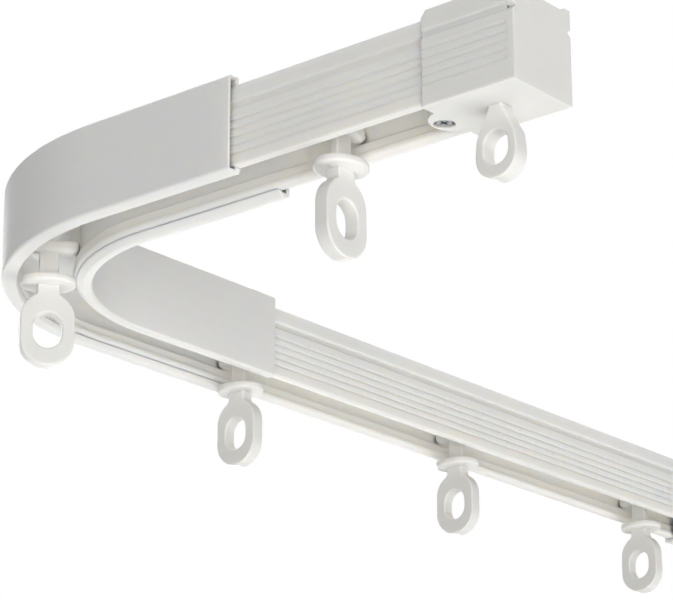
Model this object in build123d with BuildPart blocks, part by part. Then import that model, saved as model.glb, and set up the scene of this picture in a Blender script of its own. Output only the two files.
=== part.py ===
# Flexible curtain track, bent through a right angle and hung under a ceiling.
#
# One ribbed plastic rail carries the gliders in its lower channel and is held by turn-lock
# clips in its upper channel. Two smooth covers dress the bend, and a cap with a fixed eye
# closes each end.
#
# Units are millimetres. The ceiling is the plane z = 0 and +Z points up. The origin is the
# screw hole of the first clip on the long run. The long run follows +X away from the bend,
# and the short run follows -Y. Distances along a run are counted from the corner, the point
# where the two centre lines would cross.

from build123d import *
import math
import os

os.makedirs("parts", exist_ok=True)

# Runs and bend
short_run = 184.5
long_run = 367.5
bend_radius = 60.0
corner_to_clip = 140.0
ceiling_gap = 2.4

# Rail section
rail_width = 19.0
rail_height = 20.0
corner_round = 0.5
channel_width = 16.2
lip_thickness = 1.8
lip_round = 1.2
slot_width = 13.2
shelf_height = 2.2
shelf_gap = 13.9
web_thickness = 2.6
clip_channel_depth = 3.2
clip_channel_width = 16.0
clip_lip = 1.1
clip_slot = 10.4

# Ribs and grooves in the rail's side faces
groove_depth_down = 4.7
groove_height = 2.0
groove_depth = 0.7
groove_slope = 0.4
valley_first = 8.4
valley_pitch = 2.07
valley_count = 5
valley_height = 1.1
valley_depth = 0.35
hook_groove_offset = 8.7
hook_groove_width = 1.4
hook_groove_depth = 0.7

# Metal strip in the rail's web, which keeps the bend
strip_width = 11.0
strip_thickness = 0.8
strip_clearance = 0.05
strip_setback = 1.0

# Covers on the bend
cover_stand = 2.1
outer_cover_wall = 0.6
inner_cover_wall = 1.0
cover_rise = 2.3
cover_drop = 1.4
cover_round = 0.8
cover_short_reach = 106.0
cover_long_reach = 113.0
inner_cover_setback = 1.5
outer_flange_reach = 4.5
outer_flange_slope = 0.6
inner_flange_reach = 4.2
inner_flange_slope = 1.8
flange_pad_edge = 9.0
flange_gap = 0.05
hook_width = 0.8
hook_tip_gap = 0.15
rib_thickness = 0.9
rib_tip_gap = 0.25
rib_setback = 3.0

# End caps
cap_grip = 23.0
cap_plate = 2.0
cap_side = 0.95
cap_floor = 1.1
cap_roof = 0.8
cap_clearance = 0.1
ridge_width = 2.2
ridge_rise = 0.8
cap_slope_length = 1.3
cap_slope_height = 1.8
cap_pattern_lift = 0.9
cap_groove_depth = 0.4
cap_valley_depth = 0.25
notch_depth = 1.2
tongue_reach = 4.8
tongue_clearance = 0.2
tongue_round = 6.3
foot_height = 3.0
foot_clearance = 0.3
cap_eye_from_end = 9.7
cap_eye_width = 11.0
cap_eye_thickness = 4.2
cap_eye_drop = 17.1
cap_eye_middle_width = 10.6
cap_eye_middle_height = 8.3
cap_eye_top_width = 3.6
cap_eye_hole_width = 6.4
cap_eye_hole_height = 7.9
cap_eye_bottom_rim = 3.2

# Locking screw of an end cap
screw_from_end = 25.0
screw_head_radius = 1.8
screw_head_height = 1.4
screw_recess = 0.4
screw_radius = 1.25
screw_clearance = 0.05
screw_tip_gap = 0.1
screw_bore_radius = 2.5
cross_length = 2.4
cross_width = 0.6
cross_depth = 0.8

# Eye plates of gliders and end caps
eye_round = 0.4
eye_root = 0.7
eye_neck_round = 1.2

# Gliders
glider_short_station = 129.9
glider_bend_angle = 37.5
glider_long_first = 111.4
glider_pitch = 101.0
glider_long_count = 3
running_gap = 0.3
arm_span = 15.6
arm_width = 3.8
arm_height = 3.6
arm_round = 1.3
neck_width = 5.0
neck_length = 2.2
neck_round = 0.4
collar_gap = 2.5
collar_span = 14.2
collar_length = 12.0
collar_height = 2.0
collar_round = 0.7
eye_thickness = 3.9
eye_width = 13.9
eye_drop = 21.3
eye_middle_width = 13.8
eye_middle_height = 12.3
eye_neck_width = 5.6
eye_hole_width = 7.4
eye_hole_height = 9.4
eye_bottom_rim = 4.5

# Ceiling clips
clip_pitch = 165.0
clip_short_station = 125.0
clip_long_count = 2
plate_length = 26.0
plate_width = 9.0
plate_thickness = 1.0
plate_overhang = 6.0
plate_corner = 3.0
screw_hole_radius = 2.1
pivot_offset = 15.0
pivot_radius = 1.4
pivot_clearance = 0.05
pivot_head_radius = 2.5
pivot_head_height = 0.3
lever_thickness = 0.7
lever_width = 6.0
lever_reach = 13.0
tab_length = 5.0
tab_ceiling_gap = 0.4
hub_radius = 3.3
cam_length = 13.4
cam_width = 6.0
cam_thickness = 1.2

# Levels, from the ceiling downwards
rail_top = -ceiling_gap
rail_bottom = rail_top - rail_height
clip_lip_bottom = rail_top - clip_lip
web_top = rail_top - clip_channel_depth
web_bottom = web_top - web_thickness
lip_top = rail_bottom + lip_thickness
shelf_top = lip_top + shelf_height
corner_x = -corner_to_clip


def short_frame(distance):
    """Frame on the short run: X points away from the bend, Z up, origin on the ceiling."""
    return Plane(origin=(corner_x, -distance, 0), x_dir=(0, -1, 0), z_dir=(0, 0, 1))


def long_frame(distance):
    """Frame on the long run: X points away from the bend, Z up, origin on the ceiling."""
    return Plane(origin=(corner_x + distance, 0, 0), x_dir=(1, 0, 0), z_dir=(0, 0, 1))


def bend_frame(angle):
    """Frame on the bend, the angle in degrees past the end of the short run."""
    turn = math.radians(angle)
    x = corner_x + bend_radius * (1 - math.cos(turn))
    y = bend_radius * (math.sin(turn) - 1)
    return Plane(origin=(x, y, 0), x_dir=(math.sin(turn), math.cos(turn), 0), z_dir=(0, 0, 1))


def section_plane(distance):
    """Plane across the short run at the rail's top: X to the outside of the bend, Y up."""
    return Plane(origin=(corner_x, -distance, rail_top), x_dir=(-1, 0, 0), z_dir=(0, 1, 0))


def route(short_distance, long_distance):
    """Centre line from the short run, round the bend, to the long run, at the rail's top."""
    with BuildLine() as line:
        first = Line((corner_x, -short_distance, rail_top), (corner_x, -bend_radius, rail_top))
        bend = JernArc(first @ 1, first % 1, bend_radius, -90)
        Line(bend @ 1, (corner_x + long_distance, 0, rail_top))
    return line.wires()[0]


def write(piece, label):
    """Labels a finished piece and writes it."""
    piece.label = label
    export_step(piece, f"parts/{label}.step")
    print(f"{label}: {piece.volume:.1f} mm3")


def groove_outline(side, half_width, level, depth, height, slope):
    """Trapezoid cut into one side face, its mouth wider than its floor by the slope."""
    face = side * half_width
    floor = side * (half_width - depth)
    top = level + height / 2
    bottom = level - height / 2
    Polygon((face, top), (floor, top - slope), (floor, bottom + slope), (face, bottom),
            align=None, mode=Mode.SUBTRACT)


def side_pattern(half_width, lift, deep, valley):
    """Long groove and V valleys on both side faces of a section drawn at the rail's top."""
    for side in (-1, 1):
        groove_outline(side, half_width, lift - groove_depth_down, deep, groove_height, groove_slope)
        for index in range(valley_count):
            level = lift - valley_first - index * valley_pitch
            face = side * half_width
            floor = side * (half_width - valley)
            Polygon((face, level + valley_height / 2), (floor, level), (face, level - valley_height / 2),
                    align=None, mode=Mode.SUBTRACT)


def round_bottom(section, radius):
    """Rounds the two lowest outer corners of a section."""
    lowest = section.vertices().group_by(Axis.Y)[0].sort_by(Axis.X)
    fillet([lowest[0], lowest[-1]], radius)


# Rail
with BuildPart() as rail:
    with BuildSketch(section_plane(short_run)) as rail_section:
        Rectangle(rail_width, rail_height, align=(Align.CENTER, Align.MAX))
        round_bottom(rail_section, corner_round)
        with Locations((0, shelf_top - rail_top)):
            Rectangle(channel_width, web_bottom - shelf_top,
                      align=(Align.CENTER, Align.MIN), mode=Mode.SUBTRACT)
        with Locations((0, lip_top - rail_top)):
            Rectangle(shelf_gap, shelf_height, align=(Align.CENTER, Align.MIN), mode=Mode.SUBTRACT)
        with Locations((0, -rail_height)):
            Rectangle(slot_width, lip_thickness, align=(Align.CENTER, Align.MIN), mode=Mode.SUBTRACT)
        slot_edges = rail_section.vertices().group_by(Axis.Y)[0].sort_by(Axis.X)[1:-1]
        fillet(slot_edges, lip_round)
        with Locations((0, -clip_lip)):
            Rectangle(clip_channel_width, clip_channel_depth - clip_lip,
                      align=(Align.CENTER, Align.MAX), mode=Mode.SUBTRACT)
        Rectangle(clip_slot, clip_lip, align=(Align.CENTER, Align.MAX), mode=Mode.SUBTRACT)
        with Locations((0, web_top - rail_top - web_thickness / 2)):
            Rectangle(strip_width + 2 * strip_clearance, strip_thickness + 2 * strip_clearance,
                      mode=Mode.SUBTRACT)
        side_pattern(rail_width / 2, 0, groove_depth, valley_depth)
        for side in (-1, 1):
            middle = side * hook_groove_offset
            Polygon((middle - hook_groove_width / 2, 0), (middle, -hook_groove_depth),
                    (middle + hook_groove_width / 2, 0), align=None, mode=Mode.SUBTRACT)
    sweep(path=route(short_run, long_run))
write(rail.part, "rail")

# Metal strip in the web
with BuildPart() as strip:
    with BuildSketch(section_plane(short_run - strip_setback)):
        with Locations((0, web_top - rail_top - web_thickness / 2)):
            Rectangle(strip_width, strip_thickness)
    sweep(path=route(short_run - strip_setback, long_run - strip_setback))
write(strip.part, "bend_strip")


def make_cover(side, wall, flange_reach, flange_slope, short_reach, long_reach, label):
    """Cover on one side of the bend: 1 is the outside, -1 the inside.

    Its flange lies against the rail's lip as a solid pad, whose edge slopes towards the slot.
    """
    outer_face = rail_width / 2 + cover_stand
    inner_face = outer_face - wall
    bottom = -rail_height - cover_drop
    flange_tip = outer_face - flange_reach
    with BuildPart() as cover:
        with BuildSketch(section_plane(short_reach)) as skin:
            hook_inner = hook_groove_offset - hook_width / 2
            hook_outer = hook_groove_offset + hook_width / 2
            hook_tip = hook_tip_gap - hook_groove_depth
            outline = [
                (outer_face, bottom),
                (outer_face, cover_rise),
                (hook_inner, cover_rise),
                (hook_inner, hook_tip_gap),
                (hook_groove_offset, hook_tip),
                (hook_outer, hook_tip_gap),
                (hook_outer, cover_rise - wall),
                (inner_face, cover_rise - wall),
                (inner_face, bottom + wall),
                (flange_pad_edge, bottom + wall),
                (flange_pad_edge, -rail_height - flange_gap),
                (flange_tip, -rail_height - flange_gap),
                (flange_tip + flange_slope, bottom),
            ]
            Polygon(*[(side * x, y) for x, y in outline], align=None)
            outer = skin.vertices().group_by(Axis.X)[-1 if side > 0 else 0]
            fillet(outer, cover_round)
        sweep(path=route(short_reach, long_reach))
        with BuildSketch(section_plane(short_reach - rib_setback)):
            rib_tip = rail_width / 2 - groove_depth + rib_tip_gap
            root = inner_face + wall / 2
            with Locations((side * (rib_tip + root) / 2, -groove_depth_down)):
                Rectangle(root - rib_tip, rib_thickness)
        sweep(path=route(short_reach - rib_setback, long_reach - rib_setback))
    write(cover.part, label)


make_cover(1, outer_cover_wall, outer_flange_reach, outer_flange_slope,
           cover_short_reach, cover_long_reach, "outer_cover")
make_cover(-1, inner_cover_wall, inner_flange_reach, inner_flange_slope,
           cover_short_reach - inner_cover_setback, cover_long_reach, "inner_cover")


def make_eye(carrier, drop, rounds, neck_width, hole, bottom_rim, thickness):
    """Eye plate in the XZ plane, hanging from the carrier's underside.

    The rounds are (width, height of the centre above the lowest point), from the bottom up. The
    hole is its width and its height.
    """
    hole_width, hole_height = hole
    lowest = carrier - drop
    highest_round = lowest + rounds[-1][1]
    with BuildPart() as eye:
        with BuildSketch(Plane.XZ) as outline:
            with BuildLine():
                for width, height in rounds:
                    CenterArc((0, lowest + height), width / 2, 0, 360)
            make_hull()
            with Locations((0, highest_round)):
                Rectangle(neck_width, carrier + eye_root - highest_round, align=(Align.CENTER, Align.MIN))
            if neck_width < rounds[-1][0]:
                fillet(outline.vertices().group_by(Axis.Y)[-2], eye_neck_round)
            with Locations((0, lowest + bottom_rim + hole_height / 2)):
                SlotOverall(hole_height, hole_width, rotation=90, mode=Mode.SUBTRACT)
        extrude(amount=thickness / 2, both=True)
        faces = eye.faces().sort_by(Axis.Y)
        fillet(faces[0].edges() + faces[-1].edges(), eye_round)
    return eye.part


# Glider, made across the X axis: its arms lie along Y and it slides along X
arm_bottom = shelf_top + running_gap
collar_top = rail_bottom - collar_gap
collar_bottom = collar_top - collar_height

eye_rounds = [(eye_width, eye_width / 2), (eye_middle_width, eye_middle_height)]
glider_eye = make_eye(collar_bottom, eye_drop, eye_rounds, eye_neck_width,
                      (eye_hole_width, eye_hole_height), eye_bottom_rim, eye_thickness)

with BuildPart() as arms:
    with BuildSketch(Plane.XY.offset(arm_bottom)):
        SlotOverall(arm_span, arm_width, rotation=90)
    extrude(amount=arm_height)
    levels = arms.edges().group_by(Axis.Z)
    fillet(levels[0] + levels[-1], arm_round)

with BuildPart() as glider:
    with BuildSketch(Plane.XY.offset(collar_bottom)):
        Ellipse(collar_length / 2, collar_span / 2)
    extrude(amount=collar_height)
    fillet(glider.edges(), collar_round)
    with BuildSketch(Plane.XY.offset(collar_top - collar_round)):
        RectangleRounded(neck_length, neck_width, neck_round)
    extrude(amount=arm_bottom - collar_top + collar_round + arm_height / 2)
    add(arms.part)
    add(glider_eye, rotation=(0, 0, 90))

glider_frames = [short_frame(glider_short_station), bend_frame(glider_bend_angle)]
for index in range(glider_long_count):
    glider_frames.append(long_frame(glider_long_first + index * glider_pitch))
for index, frame in enumerate(glider_frames):
    write(glider.part.moved(frame.location), f"glider_{index + 1}")

# End cap, made with the rail's end at x = 0 and +X pointing out of the rail
cap_half = rail_width / 2 + cap_clearance + cap_side
cap_bottom = rail_bottom - cap_clearance - cap_floor
cap_top = rail_top + cap_clearance + cap_roof
cap_height = cap_top - cap_bottom
across = Plane(origin=(-cap_grip, 0, rail_top), x_dir=(0, 1, 0), z_dir=(1, 0, 0))
plate_face = Plane(origin=(0, 0, rail_top), x_dir=(0, 1, 0), z_dir=(1, 0, 0))

cap_eye_top_height = cap_eye_drop + eye_root - cap_eye_top_width / 2
cap_eye_rounds = [(cap_eye_width, cap_eye_width / 2), (cap_eye_middle_width, cap_eye_middle_height),
                  (cap_eye_top_width, cap_eye_top_height)]
cap_eye = make_eye(cap_bottom, cap_eye_drop, cap_eye_rounds, cap_eye_top_width,
                   (cap_eye_hole_width, cap_eye_hole_height), cap_eye_bottom_rim, cap_eye_thickness)

with BuildPart() as cap:
    with BuildSketch(across) as cap_section:
        with Locations((0, cap_bottom - rail_top)):
            Rectangle(2 * cap_half, cap_height, align=(Align.CENTER, Align.MIN))
        round_bottom(cap_section, corner_round)
        for side in (-1, 1):
            with Locations((side * (cap_half - ridge_width / 2), cap_top - rail_top)):
                Rectangle(ridge_width, ridge_rise, align=(Align.CENTER, Align.MIN))
        plain_section = cap_section.sketch_local
        side_pattern(cap_half, cap_pattern_lift, cap_groove_depth, cap_valley_depth)
    extrude(amount=cap_grip)
    # end plate, whose sides are plain
    with BuildSketch(plate_face):
        add(plain_section)
    extrude(amount=cap_plate)
    # slope that the ridges and the roof start with
    with BuildSketch(Plane.XZ):
        ridge_top = cap_top + ridge_rise
        Polygon((-cap_grip, ridge_top), (-cap_grip, ridge_top - cap_slope_height),
                (cap_slope_length - cap_grip, ridge_top), align=None)
    extrude(amount=rail_width, both=True, mode=Mode.SUBTRACT)
    # room for the rail's end
    with BuildSketch(across):
        with Locations((0, -rail_height - cap_clearance)):
            Rectangle(rail_width + 2 * cap_clearance, rail_height + 2 * cap_clearance,
                      align=(Align.CENTER, Align.MIN))
    extrude(amount=cap_grip + cap_clearance, mode=Mode.SUBTRACT)
    # notches in the end plate, in line with the side grooves
    with BuildSketch(plate_face):
        for side in (-1, 1):
            groove_level = cap_pattern_lift - groove_depth_down
            face = side * cap_half
            floor = side * (cap_half - notch_depth)
            Polygon((face, groove_level + groove_height / 2), (floor, groove_level),
                    (face, groove_level - groove_height / 2), align=None)
    extrude(amount=cap_plate, mode=Mode.SUBTRACT)
    # tongue in the rail's slot
    tongue_start = -cap_grip - tongue_reach
    with BuildSketch(Plane.XY.offset(cap_bottom)):
        with Locations((tongue_start, 0)):
            Rectangle(-tongue_start + cap_plate / 2, slot_width - 2 * tongue_clearance,
                      align=(Align.MIN, Align.CENTER))
    extrude(amount=shelf_top + foot_clearance + foot_height - cap_bottom)
    corners = cap.edges().filter_by(Axis.Z).group_by(Axis.X)[0]
    fillet(corners, tongue_round)
    # foot above the rail's shelves
    with BuildSketch(Plane.XY.offset(shelf_top + foot_clearance)):
        with Locations((tongue_start + tongue_round, 0)):
            Rectangle(-tongue_start - tongue_round + cap_plate / 2, channel_width - 2 * foot_clearance,
                      align=(Align.MIN, Align.CENTER))
    extrude(amount=foot_height)
    # bore for the locking screw
    with Locations((-screw_from_end, 0, cap_bottom)):
        Cylinder(screw_bore_radius, screw_recess + screw_head_height + screw_clearance,
                 align=(Align.CENTER, Align.CENTER, Align.MIN), mode=Mode.SUBTRACT)
        Cylinder(screw_radius + screw_clearance, web_bottom - cap_bottom, mode=Mode.SUBTRACT,
                 align=(Align.CENTER, Align.CENTER, Align.MIN))
    with Locations((-cap_eye_from_end, 0, 0)):
        add(cap_eye)

# Locking screw, its head up inside the cap's tongue and its tip under the rail's web
head_face = cap_bottom + screw_recess
with BuildPart() as screw:
    with Locations((-screw_from_end, 0, head_face)):
        Cylinder(screw_head_radius, screw_head_height, align=(Align.CENTER, Align.CENTER, Align.MIN))
        Cylinder(screw_radius, web_bottom - screw_tip_gap - head_face,
                 align=(Align.CENTER, Align.CENTER, Align.MIN))
    with BuildSketch(Plane.XY.offset(head_face)):
        with Locations((-screw_from_end, 0)):
            Rectangle(cross_length, cross_width)
            Rectangle(cross_width, cross_length)
    extrude(amount=cross_depth, mode=Mode.SUBTRACT)

for end, frame in (("short", short_frame(short_run)), ("long", long_frame(long_run))):
    write(cap.part.moved(frame.location), f"end_cap_{end}")
    write(screw.part.moved(frame.location), f"cap_screw_{end}")

# Ceiling clip, made with its screw hole at the origin and its lever pointing along +X
lever_top = -plate_thickness - running_gap
lever_bottom = lever_top - lever_thickness
cam_top = clip_lip_bottom - running_gap
cam_bottom = cam_top - cam_thickness

with BuildPart() as plate:
    with BuildSketch():
        with Locations((-plate_overhang, 0)):
            RectangleRounded(plate_length, plate_width, plate_corner, align=(Align.MIN, Align.CENTER))
    extrude(amount=-plate_thickness)
    with Locations((0, 0, -plate_thickness)):
        Cylinder(screw_hole_radius, plate_thickness, mode=Mode.SUBTRACT,
                 align=(Align.CENTER, Align.CENTER, Align.MIN))
    with Locations((pivot_offset, 0, -plate_thickness)):
        Cylinder(pivot_radius + pivot_clearance, plate_thickness, mode=Mode.SUBTRACT,
                 align=(Align.CENTER, Align.CENTER, Align.MIN))

with BuildPart() as lever:
    with BuildSketch(Plane.XY.offset(lever_bottom)):
        with Locations((pivot_offset, 0)):
            Circle(hub_radius)
            Rectangle(lever_reach - lever_width / 2, lever_width, align=(Align.MIN, Align.CENTER))
        with Locations((pivot_offset + lever_reach - lever_width / 2, 0)):
            Circle(lever_width / 2)
    extrude(amount=lever_thickness)
    with BuildSketch(Plane.XY.offset(lever_bottom)):
        with Locations((pivot_offset + lever_reach - lever_width / 2, 0)):
            Circle(lever_width / 2)
        with Locations((pivot_offset + lever_reach - tab_length, 0)):
            Rectangle(lever_reach, lever_width, align=(Align.MAX, Align.CENTER), mode=Mode.SUBTRACT)
    extrude(amount=-tab_ceiling_gap - lever_bottom)
    with Locations((pivot_offset, 0, cam_bottom)):
        Cylinder(hub_radius, lever_top - cam_bottom, align=(Align.CENTER, Align.CENTER, Align.MIN))
    with BuildSketch(Plane.XY.offset(cam_bottom)):
        with Locations((pivot_offset, 0)):
            Circle(cam_length / 2)
            Rectangle(cam_width, cam_length, mode=Mode.INTERSECT)
    extrude(amount=cam_thickness)
    with Locations((pivot_offset, 0, cam_bottom)):
        Cylinder(pivot_radius + pivot_clearance, -cam_bottom, mode=Mode.SUBTRACT,
                 align=(Align.CENTER, Align.CENTER, Align.MIN))

with BuildPart() as rivet:
    with Locations((pivot_offset, 0, 0)):
        Cylinder(pivot_radius, -cam_bottom + pivot_clearance, align=(Align.CENTER, Align.CENTER, Align.MAX))
    with Locations((pivot_offset, 0, cam_bottom - pivot_clearance)):
        Cylinder(pivot_head_radius, pivot_head_height, align=(Align.CENTER, Align.CENTER, Align.MAX))

clip_frames = [short_frame(clip_short_station)]
for index in range(clip_long_count):
    clip_frames.append(long_frame(corner_to_clip + index * clip_pitch))
for index, frame in enumerate(clip_frames):
    write(plate.part.moved(frame.location), f"clip_plate_{index + 1}")
    write(lever.part.moved(frame.location), f"clip_lever_{index + 1}")
    write(rivet.part.moved(frame.location), f"clip_rivet_{index + 1}")
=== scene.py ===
# %% [markdown]
# # A flexible curtain track, seen from below
#
# The object is a ribbed plastic rail that is bent through a right angle and hangs under a
# ceiling. Gliders with ring-shaped eyes hang from its slot, smooth covers dress the bend, and a
# cap with an eye of its own closes each end.
#
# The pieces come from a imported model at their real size. They could be redrawn by eye, but a
# model that already fits together only needs its surfaces. So this script loads the model,
# places the camera and the lamps, and gives each piece its material. The soft edges that come
# from a die or a mould are too small to be worth modelling, so the materials draw them.

# %% Load the model
import bpy
import math
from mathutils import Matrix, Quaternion, Vector

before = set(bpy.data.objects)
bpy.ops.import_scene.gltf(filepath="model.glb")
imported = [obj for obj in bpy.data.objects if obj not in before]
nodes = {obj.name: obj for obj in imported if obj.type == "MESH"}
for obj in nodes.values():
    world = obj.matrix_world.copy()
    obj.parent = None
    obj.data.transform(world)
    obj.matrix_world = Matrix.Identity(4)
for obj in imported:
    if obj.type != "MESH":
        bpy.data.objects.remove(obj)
bpy.ops.object.select_all(action="DESELECT")
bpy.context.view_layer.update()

# %% [markdown]
# Sizes below are written in millimetres, because that is how such a track is drawn and bought.
# Blender works in metres, so one small value turns one into the other.

# %% Units
mm = 0.001

# %% [markdown]
# ## The camera
#
# The track was looked at from below and from outside the bend, with a long lens from less than
# a metre away. The place, the direction and the focal length were worked out from the straight
# edges and the round of the bend, so that the model lies over its picture. A camera turned by
# three angles is easy to read: first the heading, then the tilt, then a trace of roll. A new
# camera looks straight down, so the tilt starts with the quarter turn that brings it level.

# %% Camera
camera_place = Vector((-588.4, -502.5, -261.1)) * mm
camera_heading = 50.172
camera_level = 90.0
camera_tilt = 19.227
camera_roll = -0.134
camera_lens = 148.6
camera_nearest = 10.0
sensor_width = 36.0
x_axis = (1, 0, 0)
z_axis = (0, 0, 1)

bpy.ops.object.camera_add(location=camera_place)
camera = bpy.context.object
camera.name = "camera"
camera.data.lens = camera_lens
camera.data.sensor_width = sensor_width
camera.data.clip_start = camera_nearest * mm
camera.rotation_mode = "QUATERNION"
heading = Quaternion(z_axis, math.radians(-camera_heading))
tilt = Quaternion(x_axis, math.radians(camera_level + camera_tilt))
roll = Quaternion(z_axis, math.radians(camera_roll))
camera.rotation_quaternion = heading @ tilt @ roll
bpy.context.scene.camera = camera
bpy.context.scene.view_settings.view_transform = "Standard"
print("camera", tuple(round(value, 3) for value in camera_place), "lens", camera_lens)

# %% [markdown]
# ## Colours and nodes
#
# A colour is written as the hex value that a paint program shows. Blender's shaders want linear
# light, so one function turns the one into the other: the sRGB curve has a straight foot and a
# power above it. Another small function adds a node with its settings and its links, so that
# each material below reads from top to bottom.

# %% Colour and node helpers
def linear(hex_colour):
    """RGBA in linear light of an sRGB hex colour such as '#E8E6E1'."""
    channels = [int(hex_colour[start:start + 2], 16) / 255 for start in (1, 3, 5)]
    return [c / 12.92 if c <= 0.04045 else ((c + 0.055) / 1.055) ** 2.4 for c in channels] + [1]


def add_node(tree, kind, values=(), links=(), **settings):
    """Adds a node: values go to its input sockets, links join outputs to them."""
    node = tree.nodes.new(kind)
    for name, value in settings.items():
        setattr(node, name, value)
    for socket, value in dict(values).items():
        node.inputs[socket].default_value = value
    for socket, output in dict(links).items():
        tree.links.new(output, node.inputs[socket])
    return node


def new_material(name):
    """An empty material with its node tree and output node."""
    material = bpy.data.materials.new(name)
    material.use_nodes = True
    material.node_tree.nodes.clear()
    output = add_node(material.node_tree, "ShaderNodeOutputMaterial")
    return material, material.node_tree, output


# %% [markdown]
# ## The white background
#
# The track is shown on plain white. A world of full white would flood the track with light and
# wash its slot out, so the world has two levels: the eye sees white, also in a reflection or
# through something clear, and the surfaces get only a faint grey light from it. The light path
# tells the shader which of the two is being asked for. The floor needs the same answer, so a
# function gives it to both.

# %% World
world_level = 0.12
seen_level = 1.0
plain_white = (1, 1, 1, 1)


def add_seen(tree):
    """Output that is 1 where a surface is seen, directly, mirrored or through glass, else 0."""
    path = add_node(tree, "ShaderNodeLightPath")
    direct = {0: path.outputs["Is Camera Ray"], 1: path.outputs["Is Glossy Ray"]}
    mirrored = add_node(tree, "ShaderNodeMath", links=direct, operation="MAXIMUM")
    through = {0: mirrored.outputs[0], 1: path.outputs["Is Transmission Ray"]}
    return add_node(tree, "ShaderNodeMath", links=through, operation="MAXIMUM").outputs[0]


world = bpy.data.worlds.new("studio")
bpy.context.scene.world = world
world.use_nodes = True
tree = world.node_tree
tree.nodes.clear()
lighting = add_node(tree, "ShaderNodeBackground", {"Color": plain_white, "Strength": world_level})
backdrop = add_node(tree, "ShaderNodeBackground", {"Color": plain_white, "Strength": seen_level})
choices = {0: add_seen(tree), 1: lighting.outputs[0], 2: backdrop.outputs[0]}
mixed = add_node(tree, "ShaderNodeMixShader", links=choices)
add_node(tree, "ShaderNodeOutputWorld", links={"Surface": mixed.outputs[0]})
print("world lights with", world_level, "and shows white")

# %% [markdown]
# ## Lamps
#
# Large softboxes stand more than a metre away on all sides, because a lamp that is much larger
# than the track draws no hard shadows on it. The one beside the camera lights the faces that look
# forwards. The one below lights the undersides, which is why the bottom edges of the rail shine
# while its sides stay grey. The right one is weak and only opens the shadows of the long run.
# The ones above and behind keep the ceiling side readable, and white plastic lets a little of
# their light through into the slot. The clips are metal and mirror the lamp above them, so that
# one is the largest: the same light from more area is dimmer to look at.
#
# Places and sides are in millimetres, and power is in watts.

# %% Lamps
track_middle = Vector((20.0, -60.0, -20.0)) * mm


def soft_lamp(name, place, side, power):
    """A square softbox that looks at the middle of the track."""
    bpy.ops.object.light_add(type="AREA", location=Vector(place) * mm)
    lamp = bpy.context.object
    lamp.name = name
    lamp.data.shape = "SQUARE"
    lamp.data.size = side * mm
    lamp.data.energy = power
    lamp.rotation_mode = "QUATERNION"
    lamp.rotation_quaternion = (track_middle - lamp.location).to_track_quat("-Z", "Y")
    lamp.visible_camera = False
    print(name, power, "W")


soft_lamp("lamp_camera", place=(-1180.0, -1130.0, -500.0), side=1200.0, power=17.4)
soft_lamp("lamp_right", place=(1400.0, -1100.0, -300.0), side=1200.0, power=4.2)
soft_lamp("lamp_below", place=(100.0, -650.0, -1850.0), side=1400.0, power=19.6)
soft_lamp("lamp_above", place=(200.0, 200.0, 1800.0), side=3400.0, power=30.0)
soft_lamp("lamp_back", place=(1100.0, 1500.0, 100.0), side=1200.0, power=17.5)

# %% [markdown]
# ## Floor
#
# The floor is that of the room, as far below the ceiling as in a real one, so that it never
# stands between the track and a low camera. It is far wider than a room, so that no view from
# above shows its edge. It is matt and pale. Most of what is seen of it is plain white, like the
# background, and the rest takes the lamps' light like a painted board, so a white track still
# stands out from it.

# %% Floor
room_height = 2400.0
floor_side = 60000.0
floor_white_share = 0.75

bpy.ops.mesh.primitive_plane_add(size=floor_side * mm, location=(0, 0, -room_height * mm))
floor = bpy.context.object
floor.name = "floor"
material, tree, output = new_material("pale_floor")
matt = add_node(tree, "ShaderNodeBsdfDiffuse", {"Color": linear("#F2F1EE")})
white = add_node(tree, "ShaderNodeEmission", {"Color": plain_white, "Strength": seen_level})
share = add_node(tree, "ShaderNodeMath", {1: floor_white_share}, {0: add_seen(tree)},
                 operation="MULTIPLY")
choices = {0: share.outputs[0], 1: matt.outputs[0], 2: white.outputs[0]}
mixed = add_node(tree, "ShaderNodeMixShader", links=choices)
tree.links.new(mixed.outputs[0], output.inputs["Surface"])
floor.data.materials.append(material)
print("floor", floor_side, "mm wide at", -room_height, "mm")

# %% [markdown]
# ## Materials
#
# The rail and the covers are hard white PVC, pushed through a die. A die leaves faint lines that
# run along the profile, also round the bend. So these materials need to know where a point lies
# in the profile: how far across it and how far up. A distance from the bend's centre gives the
# first, once the part of it that runs along a straight run is left out.

# %% Places in the profile
bend_centre = Vector((-80.0, -60.0, 0.0)) * mm
along_share = 0.002


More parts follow.
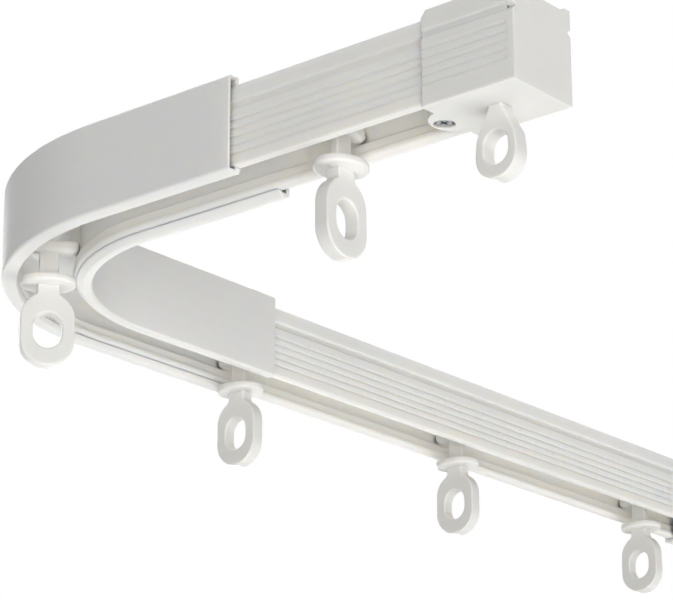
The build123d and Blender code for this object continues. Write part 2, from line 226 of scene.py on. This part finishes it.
def profile_place(tree):
    """Output with a point's place in the rail's section: across it, up it, and slowly along it."""
    place = add_node(tree, "ShaderNodeTexCoord")
    centred = add_node(tree, "ShaderNodeVectorMath", {1: bend_centre},
                       {0: place.outputs["Object"]}, operation="SUBTRACT")
    axes = add_node(tree, "ShaderNodeSeparateXYZ", links={0: centred.outputs[0]})
    # Left of the bend's centre X counts, behind it Y counts, and on the bend itself both do
    left = add_node(tree, "ShaderNodeMath", {1: 0.0}, {0: axes.outputs["X"]}, operation="MINIMUM")
    back = add_node(tree, "ShaderNodeMath", {1: 0.0}, {0: axes.outputs["Y"]}, operation="MAXIMUM")
    sideways = {"X": left.outputs[0], "Y": back.outputs[0]}
    flat = add_node(tree, "ShaderNodeCombineXYZ", links=sideways)
    across = add_node(tree, "ShaderNodeVectorMath", links={0: flat.outputs[0]},
                      operation="LENGTH")
    # A line from the die changes only slowly along the run, so that direction is squeezed
    sides = {0: axes.outputs["X"], 1: axes.outputs["Y"]}
    along = add_node(tree, "ShaderNodeMath", links=sides, operation="ADD")
    slow = add_node(tree, "ShaderNodeMath", {1: along_share}, {0: along.outputs[0]},
                    operation="MULTIPLY")
    section = {"X": across.outputs["Value"], "Y": axes.outputs["Z"], "Z": slow.outputs[0]}
    return add_node(tree, "ShaderNodeCombineXYZ", links=section).outputs[0]


# %% [markdown]
# Little light gets into narrow gaps, so they look greyer than the open faces. This is painted
# shade:
# one function finds the gaps by how much of the space just above a point is open, and mixes a grey
# into the colour where too little is. A plain inner corner is half open and gets no painted shade.

# %% Painted shade in the gaps
# Painted shade: how far the occlusion looks, where the grey starts, and how grey it gets
painted_shade_reach = 2.5
painted_shade_starts_below = 0.52
painted_shade_full_below = 0.15
painted_shade_share = 0.9
painted_shade_colour = "#84817B"
painted_shade_samples = 8


def with_painted_shade(tree, tone):
    """Output with a colour greyed by painted shade where things stand close together."""
    # Painted shade: an occlusion node finds narrow gaps and greys the colour where shade falls
    room = add_node(tree, "ShaderNodeAmbientOcclusion", {"Distance": painted_shade_reach * mm},
                    samples=painted_shade_samples)
    narrow = {"From Min": painted_shade_starts_below, "From Max": painted_shade_full_below, "To Max": painted_shade_share}
    painted_shade_amount = add_node(tree, "ShaderNodeMapRange", narrow, {"Value": room.outputs["AO"]},
                    interpolation_type="SMOOTHSTEP")
    painted_shade_mix = add_node(tree, "ShaderNodeMix", {"B": linear(painted_shade_colour)},
                     {"Factor": painted_shade_amount.outputs[0], "A": tone}, data_type="RGBA")
    return painted_shade_mix.outputs["Result"]


# %% [markdown]
# No surface here is the same all over. Its colour and its gloss drift together, since both come
# from how the surface was made, so one noise drives the two. A noise rarely reaches its ends, so
# the gloss follows its middle part only.

# %% Drift of colour and gloss
noise_low = 0.3
noise_high = 0.7


def add_drift(tree, noise, colour, shade, roughness, glossier, duller):
    """Outputs with a colour between two hex colours and a roughness that follow one noise."""
    tone = add_node(tree, "ShaderNodeMix", {"A": linear(colour), "B": linear(shade)},
                    {"Factor": noise.outputs[0]}, data_type="RGBA")
    limits = {"From Min": noise_low, "From Max": noise_high,
              "To Min": roughness - glossier, "To Max": roughness + duller}
    gloss = add_node(tree, "ShaderNodeMapRange", limits, {"Value": noise.outputs[0]})
    return tone.outputs["Result"], gloss.outputs[0]


# %% [markdown]
# Plastic keeps the skin of the tool that shaped it, and its edges are never quite sharp. Both
# could be modelled, but they are finer than the faces of the model. So a bevel node rounds the
# edges for the light, without a single new face, and a bump node lays the skin over them.

# %% Skin of the tool
edge_samples = 6


def add_skin(tree, noise, strength, depth, edge_round):
    """Output with a normal whose edges are rounded and whose faces carry a noise as relief."""
    rounded = add_node(tree, "ShaderNodeBevel", {"Radius": edge_round * mm}, samples=edge_samples)
    bump = add_node(tree, "ShaderNodeBump", {"Strength": strength, "Distance": depth * mm},
                    {"Height": noise.outputs[0], "Normal": rounded.outputs[0]})
    return bump.outputs[0]


# %% [markdown]
# ### Extruded PVC
#
# Two grains of noise in the profile's place make the die lines: fine ones a third of a
# millimetre apart, and bands some 2.4 millimetres wide where the die has polished the plastic
# more. Light also enters white PVC a little way before it comes back, red furthest and blue
# least, which softens every edge and fills the slot with light. The rail's thick walls let more
# of it pass than the covers' thin ones, which are denser and smoother. A die rounds its edges by
# about a quarter of a millimetre.

# %% Extruded PVC
# Real die lines are finer than a tenth of a millimetre; these are 0.33 mm apart, so they show
die_lines_per_metre = 3000.0
die_bands_per_metre = 420.0
die_line_strength = 0.25
die_edge_round = 0.25
pvc_ior = 1.53
pvc_light_share = 1.0
pvc_light_spread = (1.0, 0.88, 0.72)


def extruded_pvc(name, colour, shade, roughness, line_depth, light_depth):
    """Hard PVC from a die: lines along the profile, soft bands of gloss, and rounded edges."""
    material, tree, output = new_material(name)
    place = {"Vector": profile_place(tree)}
    lines = add_node(tree, "ShaderNodeTexNoise", {"Scale": die_lines_per_metre}, place)
    bands = add_node(tree, "ShaderNodeTexNoise", {"Scale": die_bands_per_metre}, place)
    tone, gloss = add_drift(tree, bands, colour, shade, roughness, glossier=0.06, duller=0.08)
    skin = add_skin(tree, lines, die_line_strength, line_depth, die_edge_round)
    values = {"IOR": pvc_ior, "Subsurface Weight": pvc_light_share,
              "Subsurface Scale": light_depth * mm, "Subsurface Radius": pvc_light_spread}
    # The base colour carries painted shade in narrow gaps
    links = {"Base Color": with_painted_shade(tree, tone), "Roughness": gloss, "Normal": skin}
    shader = add_node(tree, "ShaderNodeBsdfPrincipled", values, links)
    tree.links.new(shader.outputs[0], output.inputs["Surface"])
    print(name, colour, "roughness", roughness)
    return material


rail_pvc = extruded_pvc("extruded_pvc_satin", colour="#F6F4F0", shade="#F2F0EB",
                        roughness=0.42, line_depth=0.03, light_depth=2.0)
cover_pvc = extruded_pvc("extruded_pvc_smooth", colour="#F2F1EE", shade="#EFEEEB",
                         roughness=0.38, line_depth=0.015, light_depth=0.8)

# %% [markdown]
# ### Moulded acetal
#
# Gliders are moulded from acetal, because it slides without grease, and the caps from a similar
# plastic with a slightly coarser skin. A mould leaves no lines. It leaves the fine grain of its
# spark-eroded steel and slow swirls of gloss, some 6 millimetres wide, where the melt has
# flowed, so the noise here takes the plain place of a point in the object. Acetal looks waxy,
# since light goes nearly a millimetre into it.

# %% Moulded acetal
# Real mould grain is some 0.05 mm across; this is 0.25 mm, so that it shows
mould_grains_per_metre = 4000.0
mould_grain_strength = 0.3
mould_edge_round = 0.3
melt_swirls_per_metre = 160.0
melt_swirl_twist = 1.2
acetal_ior = 1.48
acetal_light_share = 0.8
acetal_light_depth = 0.9
acetal_light_spread = (1.0, 0.9, 0.8)


def moulded_acetal(name, colour, shade, roughness, grain_depth):
    """White acetal from a mould: waxy, slightly see-through, with the mould's fine grain."""
    material, tree, output = new_material(name)
    place = {"Vector": add_node(tree, "ShaderNodeTexCoord").outputs["Object"]}
    swirls = {"Scale": melt_swirls_per_metre, "Distortion": melt_swirl_twist}
    flow = add_node(tree, "ShaderNodeTexNoise", swirls, place)
    grain = add_node(tree, "ShaderNodeTexNoise", {"Scale": mould_grains_per_metre}, place)
    tone, gloss = add_drift(tree, flow, colour, shade, roughness, glossier=0.05, duller=0.07)
    skin = add_skin(tree, grain, mould_grain_strength, grain_depth, mould_edge_round)
    values = {"IOR": acetal_ior, "Subsurface Weight": acetal_light_share,
              "Subsurface Scale": acetal_light_depth * mm,
              "Subsurface Radius": acetal_light_spread}
    # The base colour carries painted shade in narrow gaps
    links = {"Base Color": with_painted_shade(tree, tone), "Roughness": gloss, "Normal": skin}
    shader = add_node(tree, "ShaderNodeBsdfPrincipled", values, links)
    tree.links.new(shader.outputs[0], output.inputs["Surface"])
    print(name, colour, "roughness", roughness)
    return material


glider_acetal = moulded_acetal("moulded_acetal_white", colour="#F0EFEC", shade="#ECEBE7",
                               roughness=0.36, grain_depth=0.01)
cap_plastic = moulded_acetal("moulded_cap_white", colour="#F2F1EE", shade="#EEEDE9",
                             roughness=0.42, grain_depth=0.02)

# %% [markdown]
# ### Metals
#
# The clips and the screws are steel with a thin coat of zinc against rust. Zinc grows in small
# spangles that differ a little in colour and polish, about a millimetre wide. The strip inside
# the rail is plain aluminium as it leaves the rolling mill, with softer clouds three times as
# wide. Both are metals, so nearly all that is seen of them is what they reflect.

# %% Metals
metal_detail = 4.0


def metal(name, colour, shade, roughness, spots_per_metre):
    """A plain metal whose colour and polish drift from spot to spot."""
    material, tree, output = new_material(name)
    place = {"Vector": add_node(tree, "ShaderNodeTexCoord").outputs["Object"]}
    grain = {"Scale": spots_per_metre, "Detail": metal_detail}
    spots = add_node(tree, "ShaderNodeTexNoise", grain, place)
    tone, gloss = add_drift(tree, spots, colour, shade, roughness, glossier=0.06, duller=0.08)
    shader = add_node(tree, "ShaderNodeBsdfPrincipled", {"Metallic": 1.0},
                      {"Base Color": tone, "Roughness": gloss})
    tree.links.new(shader.outputs[0], output.inputs["Surface"])
    print(name, colour, "roughness", roughness)
    return material


zinc = metal("zinc_plated_steel", colour="#C0C3C6", shade="#ABAFB3",
             roughness=0.42, spots_per_metre=900.0)
strip_metal = metal("mill_aluminium", colour="#CBCCCE", shade="#BFC1C4",
                    roughness=0.38, spots_per_metre=300.0)

# %% [markdown]
# ## A material for each piece
#
# The pieces are named after what they are, so the start of a name is enough to choose the
# material. Pieces of one kind share one material, as they would come from one batch.

# %% Assign
finishes = {
    "rail": rail_pvc,
    "outer_cover": cover_pvc,
    "inner_cover": cover_pvc,
    "bend_strip": strip_metal,
    "end_cap": cap_plastic,
    "glider": glider_acetal,
    "cap_screw": zinc,
    "clip": zinc,
}
for name, node in nodes.items():
    finish = next(material for start, material in finishes.items() if name.startswith(start))
    node.data.materials.clear()
    node.data.materials.append(finish)
    print(name, "has", finish.name)

# %% [markdown]
# ## The finish
#
# The script changes the size of no piece, because a better surface must not make a piece larger.

# %% Finish
print("finished")
